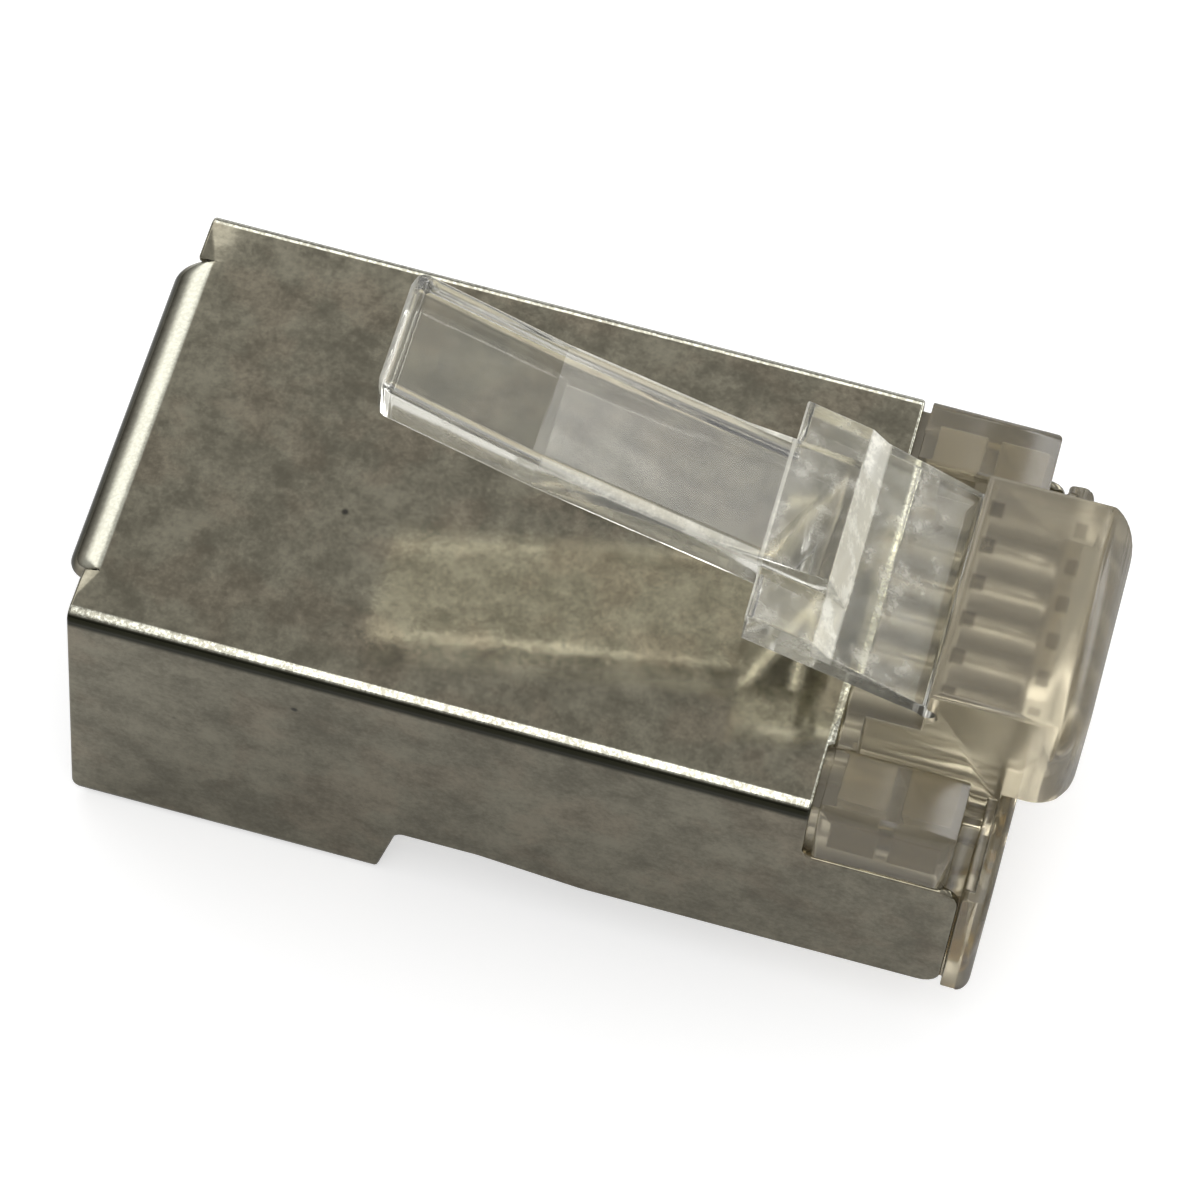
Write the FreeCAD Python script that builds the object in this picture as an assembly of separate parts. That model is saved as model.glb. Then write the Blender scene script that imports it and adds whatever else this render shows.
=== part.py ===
import FreeCAD, Part
import math
import os

# Shielded 8-position modular plug. Lengths in millimetres, angles in degrees.
#
# Stations (x) run from the rear edge of the shield's top plate towards the nose.
# Heights (z) are measured from the shield's top plate, so the plug's body lies below
# zero and the latch above it. place() moves every piece into the part's own frame,
# whose origin is the centre of the plug's length and width, on the plane that the
# rear of the shield rests on.

# ---- overall ----
PLUG_WIDTH = 11.7
REAR_HEIGHT = 8.2            # shield top to shield underside, at the cable end
FRONT_HEIGHT = 6.5           # shield top to the contact side of the nose
FACE_STATION = 22.0          # front face of the full-width body

# ---- shield ----
SHEET = 0.22                 # folded nickel-plated sheet
FOLD_RADIUS = 0.08           # inside radius of the long folds
SHIELD_CLEARANCE = 0.03      # between the shield and the housing
NOTCH_LENGTH = 4.45          # the top plate ends this far behind the front face
PLATE_JOG = 0.15             # the centre strip of the top plate reaches further forward
TONGUE_GAP = 0.05            # between the side tongues and the housing's flange
STEP_STATION = 7.6           # front end of the deep rear section
STEP_RUN = 0.45              # slope of the step, along x
STEP_ARCH = 0.30             # rise of the side's lower edge just ahead of the step
ARCH_LENGTH = 2.0            # level top of the arch
ARCH_END = 12.6              # where the lower edge is level again
ARCH_ROUND = 2.0
SIDE_CORNER = 0.50           # rounded corners of the side walls
STEP_CORNER = 0.25           # rounded corners of the step and the notches
SEAM_GAP = 0.12              # seam along the middle of the underside
HEM_MARGIN = 0.25            # the earthing lip's root is narrower than the cable entry, each side
HEM_TAPER = 0.65             # the roll is narrower than the root, each side
HEM_BULGE = 0.45             # lip's reach behind the top plate's rear edge
HEM_START = 0.42             # where the top plate starts to bend down to the lip
HEM_DIP = 0.35               # the gentle part of that bend
HEM_TURN = 0.50              # outside radius of the turn back into the entry
HEM_LENGTH = 2.6             # lip's reach into the cable entry
HEM_END = 0.30               # rounded ends of the roll, seen from above

# ---- housing ----
HOUSING_SETBACK = 0.75       # housing's rear face inside the shield
ENTRY_WIDTH = 9.2            # cable entry
ENTRY_ROOF = 0.62            # wall over the cable entry
ENTRY_FLOOR = 0.70           # wall under the cable entry
ENTRY_STATION = 10.8         # end of the full-height entry
ENTRY_ROUND = 0.5
COMB_STATION = 13.0          # where the wire channels start
COMB_MOUTH = 1.05            # height of the funnel's end
MOULD_RADIUS = 0.30          # outer edges of the moulding
FINE_RADIUS = 0.15           # its finer edges
CONTACT_COUNT = 8
CONTACT_PITCH = 1.02
CHANNEL_RADIUS = 0.44        # wire channels
CHANNEL_HEIGHT = -3.0        # their centre line
FRONT_WALL = 0.55            # wall ahead of their blind ends
NOTCH_GAP = 0.20             # between the top plate and the side shoulders
SHOULDER_WIDTH = 1.85        # side shoulders that fill the shield's notches
SHOULDER_FLOOR = 2.12        # ledge beside and ahead of the shoulders
POCKET_WALL = 0.30           # walls of the shoulders' coring pockets
GROOVE_SETBACK = 0.45        # where the grooves beside the latch root start
FLANGE_LENGTH = 0.65         # front flange that the tongues butt against
LEDGE_LENGTH = 0.45          # ledge between the shoulders and the flange
LEDGE_DROP = 0.40

# ---- latch root and latch ----
ROOT_WIDTH = 6.2             # latch root, from the hinge line to the nose
ROOT_RISE = 1.70             # above the shield's top
CHIN_REACH = 1.15            # chin's reach ahead of the front face
CHIN_DROP = 1.85             # underside of the chin
CHIN_CORNER = 0.95           # its corners, seen from above
CHIN_ROUND = 0.90            # its upper front edge
HINGE_SETBACK = 2.5          # hinge line behind the front face
HINGE_HEIGHT = 0.70
HINGE_RADIUS = 0.24
HINGE_CLEARANCE = 0.03
NECK = 0.40                  # thickness of the arm at the hinge line
ARM_INSET = 0.10             # the arm is narrower than its root, each side
LEVER_WIDTH = 3.3
ARM_LENGTH = 4.45            # hinge line to the rear faces of the two catches
CATCH_LENGTH = 1.62          # rear face to crest
CATCH_RAMP = 0.41            # crest to toe
CATCH_EDGE = 0.06
LEVER_LENGTH = 5.45          # catches to the bend
TAB_LENGTH = 3.68            # bend to the free end
BEND_ROUND = 1.0
ARM_SLOPE = 17.0             # underside of the arm
BEND_SLOPE = 20.8            # lever behind its bend
CATCH_HEIGHT = 1.02          # rear face of the catches
LEVER_THICKNESS = 1.25
RIB_RISE = 0.36              # lever above the catches
RIB_TOE = 0.11               # foot of the rib ahead of the catches
LEVER_CORNER = 0.45          # corners of the free end, seen from above
LEVER_EDGE = 0.22            # rounded long edges of the lever's top
LEVER_NOSE = 0.30            # rounded edges across the free end

# ---- contacts ----
BLADE = 0.30                 # sheet thickness of a contact
BLADE_CLEARANCE = 0.02
BLADE_LENGTH = 2.10
BLADE_SETBACK = 0.15         # behind the front face
BLADE_PROUD = 0.45           # raised above the comb, before the plug is fitted to a cable
BLADE_REAR_ROUND = 0.35
BLADE_FRONT_ROUND = 0.55
TIP_COUNT = 2
TIP_HEIGHT = 0.65            # piercing tips
TIP_GAP = 0.06               # between the tips and the wire channels
SLOT_WIDTH = 0.60            # open part of a contact slot
SLOT_MARGIN = 0.12           # slot beyond the blade, along x
SLOT_DEPTH = 1.15            # where the slot narrows to grip the blade
SILL_HEIGHT = 1.65           # upper edge of the slot's opening in the front face

# ---- strain reliefs ----
JACKET_BAR_START = 8.9
JACKET_BAR_LENGTH = 2.4
JACKET_BAR_WIDTH = 5.6
WIRE_BAR_START = 14.2
WIRE_BAR_LENGTH = 1.3
WIRE_BAR_WIDTH = 8.4
BAR_GAP = 0.35               # slit around a bar
BAR_WEB = 0.22               # thin webs that hold a bar until it is pressed in
BAR_HEIGHT = 0.9
BAR_BEVEL = 0.3              # wedge on top of a bar
BAR_EDGE = 0.1

# ---- construction ----
BEYOND = 2.0                 # how far a cutting solid runs past what it cuts
OVERLAP = 0.25               # how far joined solids reach into each other
TOUCHING = 1e-6              # points this close are one point

# ---- worked out ----
HALF_WIDTH = PLUG_WIDTH / 2
SKIN = SHEET + SHIELD_CLEARANCE
HOUSING_HALF = HALF_WIDTH - SKIN
OUTER_FOLD = FOLD_RADIUS + SHEET
ENTRY_HALF = ENTRY_WIDTH / 2
HEM_HALF = ENTRY_HALF - HEM_MARGIN
ROLL_HALF = HEM_HALF - HEM_TAPER
ROOT_HALF = ROOT_WIDTH / 2
LEVER_HALF = LEVER_WIDTH / 2
ARM_WIDTH = ROOT_WIDTH - 2 * ARM_INSET
ENTRY_TOP = -SKIN - ENTRY_ROOF
HOUSING_FLOOR = -REAR_HEIGHT + SKIN
REAR_FLOOR = HOUSING_FLOOR + ENTRY_FLOOR
FRONT_FLOOR = -FRONT_HEIGHT + ENTRY_FLOOR
ARCH_HEIGHT = -FRONT_HEIGHT + STEP_ARCH
STEP_END = STEP_STATION + STEP_RUN
NOSE_STATION = FACE_STATION + CHIN_REACH
TOP_PLATE_LENGTH = FACE_STATION - NOTCH_LENGTH
HINGE_STATION = FACE_STATION - HINGE_SETBACK
CATCH_REAR = HINGE_STATION - ARM_LENGTH
CATCH_CREST = CATCH_REAR + CATCH_LENGTH
CATCH_TOE = CATCH_CREST + CATCH_RAMP
LEVER_BEND = CATCH_REAR - LEVER_LENGTH
LEVER_STATION = LEVER_BEND - TAB_LENGTH
FLANGE_START = FACE_STATION - FLANGE_LENGTH
SHOULDER_START = TOP_PLATE_LENGTH + NOTCH_GAP
SHOULDER_END = FLANGE_START - LEDGE_LENGTH
SHOULDER_INNER = HALF_WIDTH - SHOULDER_WIDTH
GROOVE_START = SHOULDER_START + GROOVE_SETBACK
FLANGE_TOP = -SHOULDER_FLOOR - SHIELD_CLEARANCE
TONGUE_STATION = FLANGE_START - TONGUE_GAP
BLADE_END = FACE_STATION - BLADE_SETBACK
BLADE_START = BLADE_END - BLADE_LENGTH
BLADE_TIP = CHANNEL_HEIGHT - CHANNEL_RADIUS - TIP_GAP
BLADE_SHOULDER = BLADE_TIP - TIP_HEIGHT
SLOT_LEDGE = -FRONT_HEIGHT + SLOT_DEPTH
SLOT_SILL = -FRONT_HEIGHT + SILL_HEIGHT


def outline(corners, plane, closed=True):
    """Wire through (a, b, radius) corners. The sides beside a corner limit its radius."""
    to_space = {"xz": lambda a, b: FreeCAD.Vector(a, 0, b),
                "yz": lambda a, b: FreeCAD.Vector(0, a, b),
                "xy": lambda a, b: FreeCAD.Vector(a, b, 0)}[plane]
    points = [to_space(a, b) for a, b, radius in corners]
    arcs = []
    for index, (a, b, radius) in enumerate(corners):
        here = points[index]
        if radius == 0:
            arcs.append((here, here, here))
            continue
        others = (index - 1, (index + 1) % len(corners))
        sides = [points[other] - here for other in others]
        rooms = [side.Length * radius / (radius + corners[other][2]) for side, other in zip(sides, others)]
        half = sides[0].getAngle(sides[1]) / 2
        reach = min([radius / math.tan(half)] + rooms)
        back, ahead = [side.normalize() for side in sides]
        inward = (back + ahead).normalize()
        bulge = reach * math.tan(half) * (1 / math.sin(half) - 1)
        arcs.append((here + back * reach, here + inward * bulge, here + ahead * reach))
    edges = []
    for index, (start, middle, end) in enumerate(arcs):
        if (end - start).Length > TOUCHING:
            edges.append(Part.Arc(start, middle, end).toShape())
        following = arcs[(index + 1) % len(arcs)][0]
        last = index == len(arcs) - 1
        if (following - end).Length > TOUCHING and (closed or not last):
            edges.append(Part.makeLine(end, following))
    return Part.Wire(edges)


def across(corners, half_width, middle=0.0):
    """Prism of an x-z outline, spread to both sides of the plane y = middle."""
    face = Part.Face(outline(corners, "xz"))
    face.translate(FreeCAD.Vector(0, middle - half_width, 0))
    return face.extrude(FreeCAD.Vector(0, 2 * half_width, 0))


def along(corners, start, end):
    """Prism of a y-z outline between two stations."""
    face = Part.Face(outline(corners, "yz"))
    face.translate(FreeCAD.Vector(start, 0, 0))
    return face.extrude(FreeCAD.Vector(end - start, 0, 0))


def upright(corners, low, high):
    """Prism of an x-y outline between two heights."""
    face = Part.Face(outline(corners, "xy"))
    face.translate(FreeCAD.Vector(0, 0, low))
    return face.extrude(FreeCAD.Vector(0, 0, high - low))


def block(x_range, y_range, z_range):
    corner = FreeCAD.Vector(x_range[0], y_range[0], z_range[0])
    return Part.makeBox(x_range[1] - x_range[0], y_range[1] - y_range[0], z_range[1] - z_range[0], corner)


def bar(start, end, half_width, low, high, radius):
    """Rounded bar along x."""
    corners = [(-half_width, low, radius), (half_width, low, radius),
               (half_width, high, radius), (-half_width, high, radius)]
    return along(corners, start, end)


def both_sides(shape):
    return [shape, shape.mirror(FreeCAD.Vector(0, 0, 0), FreeCAD.Vector(0, 1, 0))]


def channel_places():
    return [(index - (CONTACT_COUNT - 1) / 2) * CONTACT_PITCH for index in range(CONTACT_COUNT)]


def place(shape):
    """Move a piece from stations and heights into the part's own frame."""
    moved = shape.copy()
    moved.translate(FreeCAD.Vector(-(NOSE_STATION - HEM_BULGE) / 2, 0, REAR_HEIGHT))
    return moved


# ---- shield ----

def shield_side_outline():
    return [(0, BEYOND, 0), (TOP_PLATE_LENGTH, BEYOND, 0),
            (TOP_PLATE_LENGTH, FLANGE_TOP, STEP_CORNER),
            (TONGUE_STATION, FLANGE_TOP, SIDE_CORNER),
            (TONGUE_STATION, -FRONT_HEIGHT, SIDE_CORNER),
            (ARCH_END, -FRONT_HEIGHT, ARCH_ROUND), (STEP_END + ARCH_LENGTH, ARCH_HEIGHT, ARCH_ROUND / 2),
            (STEP_END, ARCH_HEIGHT, STEP_CORNER), (STEP_STATION, -REAR_HEIGHT, STEP_CORNER),
            (0, -REAR_HEIGHT, SIDE_CORNER)]


def hem():
    """Lip that rolls down behind the top plate's rear edge and turns back into the cable entry."""
    low = ENTRY_TOP - SHIELD_CLEARANCE - SHEET
    dip_start = HEM_START - (HEM_START + HEM_BULGE) / 2
    outside = outline([(HEM_START + OVERLAP, 0, 0), (dip_start, 0, BEYOND), (-HEM_BULGE, -HEM_DIP, HEM_DIP),
                       (-HEM_BULGE, low, HEM_TURN), (HEM_LENGTH, low, 0)], "xz", closed=False)
    section = outside.makeOffset2D(SHEET, fill=True, openResult=True)
    section.translate(FreeCAD.Vector(0, -HEM_HALF, 0))
    strip = section.extrude(FreeCAD.Vector(0, 2 * HEM_HALF, 0))
    plan = upright([(-HEM_BULGE, -ROLL_HALF, HEM_END), (0, -HEM_HALF, 0),
                    (HEM_LENGTH, -HEM_HALF, SIDE_CORNER), (HEM_LENGTH, HEM_HALF, SIDE_CORNER),
                    (0, HEM_HALF, 0), (-HEM_BULGE, ROLL_HALF, HEM_END)], -REAR_HEIGHT, BEYOND)
    return strip.common(plan)


def make_shield():
    outside = bar(0, TONGUE_STATION, HALF_WIDTH, -REAR_HEIGHT, 0, OUTER_FOLD)
    inside = bar(-BEYOND, TONGUE_STATION + BEYOND, HALF_WIDTH - SHEET, -REAR_HEIGHT + SHEET,
                 -SHEET, FOLD_RADIUS)
    sheet = outside.cut(inside).common(across(shield_side_outline(), HALF_WIDTH + BEYOND))
    sheet = sheet.cut(block((-BEYOND, HEM_START), (-HEM_HALF, HEM_HALF), (-2 * SHEET, BEYOND)))
    strip = block((TOP_PLATE_LENGTH - OVERLAP, TOP_PLATE_LENGTH + PLATE_JOG),
                  (-SHOULDER_INNER, SHOULDER_INNER), (-SHEET, 0))
    seam = block((-BEYOND, STEP_STATION + BEYOND), (-SEAM_GAP / 2, SEAM_GAP / 2),
                 (-REAR_HEIGHT - BEYOND, -REAR_HEIGHT / 2))
    sheet = sheet.fuse([strip, hem()]).removeSplitter()
    return sheet.cut(seam)


# ---- housing ----

def housing_body():
    """The moulding behind the front face: what lies inside the shield, and the flange."""
    core_end = FLANGE_START + OVERLAP
    side = [(HOUSING_SETBACK, BEYOND, 0), (core_end, BEYOND, 0), (core_end, -FRONT_HEIGHT, 0),
            (ARCH_END, -FRONT_HEIGHT, ARCH_ROUND), (STEP_END + ARCH_LENGTH, ARCH_HEIGHT, ARCH_ROUND / 2),
            (STEP_END - SKIN, ARCH_HEIGHT, 0), (STEP_STATION - SKIN, HOUSING_FLOOR, 0),
            (HOUSING_SETBACK, HOUSING_FLOOR, 0)]
    core = bar(0, FACE_STATION, HOUSING_HALF, HOUSING_FLOOR, -SKIN, FOLD_RADIUS)
    core = core.common(across(side, HALF_WIDTH))
    deck_start = TOP_PLATE_LENGTH + PLATE_JOG + SHIELD_CLEARANCE
    deck = block((deck_start, HINGE_STATION + OVERLAP), (-SHOULDER_INNER, SHOULDER_INNER),
                 (-SHOULDER_FLOOR, 0))
    flange = upright([(FLANGE_START, -HALF_WIDTH, 0), (FACE_STATION, -HALF_WIDTH, MOULD_RADIUS),
                      (FACE_STATION, HALF_WIDTH, MOULD_RADIUS), (FLANGE_START, HALF_WIDTH, 0)],
                     -FRONT_HEIGHT, FLANGE_TOP)
    rounding = across([(FLANGE_START, -FRONT_HEIGHT, 0), (FACE_STATION, -FRONT_HEIGHT, MOULD_RADIUS),
                       (FACE_STATION, FLANGE_TOP, FINE_RADIUS), (FLANGE_START, FLANGE_TOP, FINE_RADIUS)],
                      HALF_WIDTH)
    return core.fuse([deck, flange.common(rounding)])


def shoulder():
    """Block at one side that fills the shield's notch, flush with the sheet."""
    plan = upright([(SHOULDER_START, SHOULDER_INNER, 0), (SHOULDER_END, SHOULDER_INNER, FINE_RADIUS),
                    (SHOULDER_END, HALF_WIDTH, MOULD_RADIUS), (SHOULDER_START, HALF_WIDTH, FINE_RADIUS)],
                   -SHOULDER_FLOOR, 0)
    section = along([(SHOULDER_INNER, -SHOULDER_FLOOR, 0), (HALF_WIDTH, -SHOULDER_FLOOR, FINE_RADIUS),
                     (HALF_WIDTH, 0, OUTER_FOLD), (SHOULDER_INNER, 0, FINE_RADIUS)],
                    SHOULDER_START, SHOULDER_END)
    return plan.common(section)


def pockets():
    """Two coring pockets in a shoulder, open towards the groove, with a rib between them."""
    length = (SHOULDER_END - SHOULDER_START - 3 * POCKET_WALL) / 2
    starts = [SHOULDER_START + POCKET_WALL, SHOULDER_START + 2 * POCKET_WALL + length]
    return [block((start, start + length), (SHOULDER_INNER - POCKET_WALL, HALF_WIDTH - 2 * POCKET_WALL),
                  (-SHOULDER_FLOOR + POCKET_WALL, -POCKET_WALL)) for start in starts]


def latch_root():
    """Raised root that carries the latch and ends in the nose's chin."""
    side = across([(HINGE_STATION, -CHIN_DROP, 0), (NOSE_STATION, -CHIN_DROP, MOULD_RADIUS),
                   (NOSE_STATION, ROOT_RISE, CHIN_ROUND), (HINGE_STATION, ROOT_RISE, FINE_RADIUS)],
                  ROOT_HALF)
    plan = upright([(HINGE_STATION, -ROOT_HALF, 0), (NOSE_STATION, -ROOT_HALF, CHIN_CORNER),
                    (NOSE_STATION, ROOT_HALF, CHIN_CORNER), (HINGE_STATION, ROOT_HALF, 0)],
                   -FRONT_HEIGHT, BEYOND + ROOT_RISE)
    section = bar(HINGE_STATION, NOSE_STATION, ROOT_HALF, -FRONT_HEIGHT, ROOT_RISE, FINE_RADIUS)
    return side.common(plan).common(section)


def hinge_groove():
    length = ROOT_WIDTH + BEYOND
    return Part.makeCylinder(HINGE_RADIUS + HINGE_CLEARANCE, length,
                             FreeCAD.Vector(HINGE_STATION, -length / 2, HINGE_HEIGHT),
                             FreeCAD.Vector(0, 1, 0))


def cable_cavity():
    """Cable entry, its step and the funnel that leads to the wire channels."""
    mouth = COMB_MOUTH / 2
    side = [(-BEYOND, ENTRY_TOP, 0), (ENTRY_STATION, ENTRY_TOP, ENTRY_ROUND),
            (COMB_STATION, CHANNEL_HEIGHT + mouth, 0), (COMB_STATION, CHANNEL_HEIGHT - mouth, 0),
            (ENTRY_STATION, FRONT_FLOOR, ENTRY_ROUND), (STEP_END, FRONT_FLOOR, MOULD_RADIUS),
            (STEP_STATION - ENTRY_FLOOR, REAR_FLOOR, MOULD_RADIUS), (-BEYOND, REAR_FLOOR, 0)]
    section = bar(-BEYOND, COMB_STATION, ENTRY_HALF, REAR_FLOOR, ENTRY_TOP, MOULD_RADIUS)
    return across(side, ENTRY_HALF).common(section)


def wire_channels():
    start = COMB_STATION - OVERLAP
    length = FACE_STATION - FRONT_WALL - start
    return [Part.makeCylinder(CHANNEL_RADIUS, length, FreeCAD.Vector(start, middle, CHANNEL_HEIGHT),
                              FreeCAD.Vector(1, 0, 0)) for middle in channel_places()]


def contact_slots():
    slots = []
    start = BLADE_START - SLOT_MARGIN
    end = BLADE_END + SLOT_MARGIN - MOULD_RADIUS
    grip = BLADE / 2 + BLADE_CLEARANCE
    open_half = SLOT_WIDTH / 2
    below = -FRONT_HEIGHT - BEYOND
    ahead = FACE_STATION + BEYOND
    for middle in channel_places():
        slots.append(block((start, end), (middle - grip, middle + grip), (below, CHANNEL_HEIGHT)))
        slots.append(block((start, ahead), (middle - open_half, middle + open_half), (below, SLOT_LEDGE)))
        slots.append(block((start, ahead), (middle - grip, middle + grip), (below, SLOT_SILL)))
    return slots


def bar_window(start, length, half_width):
    return block((start - BAR_GAP, start + length + BAR_GAP), (-half_width - BAR_GAP, half_width + BAR_GAP),
                 (-FRONT_HEIGHT - BEYOND, CHANNEL_HEIGHT))


def relief_bar(start, length, half_width, bottom):
    """Wedge-topped bar, with thin webs fore and aft that let it be pressed in once."""
    end = start + length
    top = bottom + BAR_HEIGHT
    wedge = across([(start, bottom, BAR_EDGE), (end, bottom, BAR_EDGE), (end, top - BAR_BEVEL, BAR_EDGE),
                    ((start + end) / 2, top, BAR_EDGE), (start, top - BAR_BEVEL, BAR_EDGE)], half_width)
    reach = BAR_GAP + BAR_WEB / 2
    web = block((start - reach, end + reach), (-half_width + BAR_GAP, half_width - BAR_GAP),
                (bottom + BAR_WEB, bottom + 2 * BAR_WEB))
    return wedge.fuse(web)


def make_housing():
    body = housing_body().fuse([latch_root()] + both_sides(shoulder())).removeSplitter()
    ledge = block((SHOULDER_END, FLANGE_START), (ROOT_HALF, HALF_WIDTH), (FLANGE_TOP - LEDGE_DROP, BEYOND))
    groove = block((GROOVE_START, FACE_STATION), (ROOT_HALF, SHOULDER_INNER), (-SHOULDER_FLOOR, BEYOND))
    front = block((FLANGE_START, FACE_STATION), (ROOT_HALF, HALF_WIDTH), (-SHOULDER_FLOOR, BEYOND))
    cuts = [side for cut in [ledge, groove, front] + pockets() for side in both_sides(cut)]
    cuts += [hinge_groove(), cable_cavity()] + wire_channels() + contact_slots()
    reliefs = []
    for start, length, width, bottom in ((JACKET_BAR_START, JACKET_BAR_LENGTH, JACKET_BAR_WIDTH, ARCH_HEIGHT),
                                         (WIRE_BAR_START, WIRE_BAR_LENGTH, WIRE_BAR_WIDTH, -FRONT_HEIGHT)):
        cuts.append(bar_window(start, length, width / 2))
        reliefs.append(relief_bar(start, length, width / 2, bottom))
    return body.cut(cuts).fuse(reliefs).removeSplitter()


# ---- latch ----

def is_long_upper_edge(edge, solid):
    """True for an edge that runs along the lever, behind the catches, with the solid below it."""
    box = edge.BoundBox
    if box.YLength > TOUCHING or box.XLength < TOUCHING or edge.CenterOfMass.x > CATCH_REAR:
        return False
    inward = -math.copysign(NECK, edge.CenterOfMass.y)
    return solid.isInside(edge.CenterOfMass + FreeCAD.Vector(0, inward, -NECK), TOUCHING, False)


def make_latch():
    arm_slope = math.tan(math.radians(ARM_SLOPE))
    bend_slope = math.tan(math.radians(BEND_SLOPE))
    underside = HINGE_HEIGHT - NECK / 2
    catch_low = underside + ARM_LENGTH * arm_slope
    catch_high = catch_low + CATCH_HEIGHT
    crest = catch_high - CATCH_LENGTH * arm_slope
    toe = crest - CATCH_RAMP
    arm = across([(CATCH_REAR, catch_low, CATCH_EDGE), (HINGE_STATION, underside, 0),
                  (HINGE_STATION, underside + NECK, 0), (CATCH_TOE, toe, 0),
                  (CATCH_CREST, crest, CATCH_EDGE), (CATCH_REAR, catch_high, CATCH_EDGE)], ARM_WIDTH / 2)
    root = Part.makeCylinder(HINGE_RADIUS, ARM_WIDTH,
                             FreeCAD.Vector(HINGE_STATION, -ARM_WIDTH / 2, HINGE_HEIGHT),
                             FreeCAD.Vector(0, 1, 0))
    rib_high = catch_high + RIB_RISE
    rib_crest = rib_high - CATCH_LENGTH * arm_slope / 2
    bend_low = catch_low + LEVER_LENGTH * arm_slope
    bend_high = bend_low + LEVER_THICKNESS / math.cos(math.radians(ARM_SLOPE))
    end_low = bend_low + TAB_LENGTH * bend_slope
    end_high = end_low + LEVER_THICKNESS / math.cos(math.radians(BEND_SLOPE))
    lever = across([(LEVER_STATION, end_low, LEVER_NOSE), (LEVER_BEND, bend_low, BEND_ROUND),
                    (CATCH_TOE, underside + (HINGE_STATION - CATCH_TOE) * arm_slope, 0),
                    (CATCH_TOE + RIB_TOE, toe - RIB_TOE, 0), (CATCH_TOE, toe + RIB_TOE, 0),
                    (CATCH_CREST, rib_crest, CATCH_EDGE), (CATCH_REAR, rib_high, 0),
                    (LEVER_BEND, bend_high, BEND_ROUND), (LEVER_STATION, end_high, LEVER_NOSE)], LEVER_HALF)
    lever = lever.makeFillet(LEVER_EDGE, [edge for edge in lever.Edges if is_long_upper_edge(edge, lever)])
    plan = upright([(LEVER_STATION, -LEVER_HALF, LEVER_CORNER), (HINGE_STATION, -LEVER_HALF, 0),
                    (HINGE_STATION, LEVER_HALF, 0), (LEVER_STATION, LEVER_HALF, LEVER_CORNER)],
                   0, REAR_HEIGHT)
    return arm.fuse([root, lever.common(plan)]).removeSplitter()


# ---- contacts ----

def make_contact(middle):
    """One gold-plated blade: a flat sheet with a rounded contact edge and two piercing tips."""
    low = -FRONT_HEIGHT - BLADE_PROUD
    sill = SLOT_SILL - BLADE_CLEARANCE
    inner_end = BLADE_END - MOULD_RADIUS
    spacing = (inner_end - BLADE_START) / TIP_COUNT
    corners = [(BLADE_START, BLADE_SHOULDER, 0), (BLADE_START, low, BLADE_REAR_ROUND),
               (BLADE_END, low, BLADE_FRONT_ROUND), (BLADE_END, sill, 0), (inner_end, sill, 0),
               (inner_end, BLADE_SHOULDER, 0)]
    for index in reversed(range(TIP_COUNT)):
        tip = BLADE_START + (index + 0.5) * spacing
        corners += [(tip + spacing / 3, BLADE_SHOULDER, 0), (tip, BLADE_TIP, 0),
                    (tip - spacing / 3, BLADE_SHOULDER, 0)]
    return across(corners, BLADE / 2, middle)


def main():
    os.makedirs("parts", exist_ok=True)
    pieces = {"housing": make_housing(), "latch": make_latch(), "shield": make_shield()}
    for number, middle in enumerate(channel_places(), start=1):
        pieces["contact_%d" % number] = make_contact(middle)
    for name, shape in pieces.items():
        solid = place(shape)
        print("%s: %d solid, valid %s, volume %.3f" % (name, len(solid.Solids), solid.isValid(), solid.Volume))
        solid.exportStep("parts/%s.step" % name)


main()
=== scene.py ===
import math
from collections import namedtuple

import bmesh
import bpy
from mathutils import Matrix, Vector


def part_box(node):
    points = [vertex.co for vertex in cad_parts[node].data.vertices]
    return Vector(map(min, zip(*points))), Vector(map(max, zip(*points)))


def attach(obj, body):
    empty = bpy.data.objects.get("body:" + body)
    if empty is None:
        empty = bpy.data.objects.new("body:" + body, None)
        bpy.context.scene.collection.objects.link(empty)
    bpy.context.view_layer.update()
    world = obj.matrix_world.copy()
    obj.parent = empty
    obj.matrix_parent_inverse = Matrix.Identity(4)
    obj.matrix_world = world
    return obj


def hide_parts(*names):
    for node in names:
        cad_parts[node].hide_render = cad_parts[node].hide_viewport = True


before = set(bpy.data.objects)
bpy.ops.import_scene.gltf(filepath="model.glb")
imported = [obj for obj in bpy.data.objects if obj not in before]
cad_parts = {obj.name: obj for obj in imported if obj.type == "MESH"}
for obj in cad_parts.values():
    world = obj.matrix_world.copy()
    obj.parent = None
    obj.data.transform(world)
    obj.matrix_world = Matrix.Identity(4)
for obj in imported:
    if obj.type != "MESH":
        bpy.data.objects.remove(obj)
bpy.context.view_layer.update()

bl_info = {
    "name": "Shielded Modular Plug",
    "version": (1, 0, 0),
    "blender": (4, 5, 0),
    "location": "View3D > Sidebar > Plug",
    "description": "Models and dresses a shielded eight-position modular plug on a plain stage",
    "category": "Object",
}

MM = 0.001
CONTACTS = sorted(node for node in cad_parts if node.startswith("contact_"))

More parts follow.
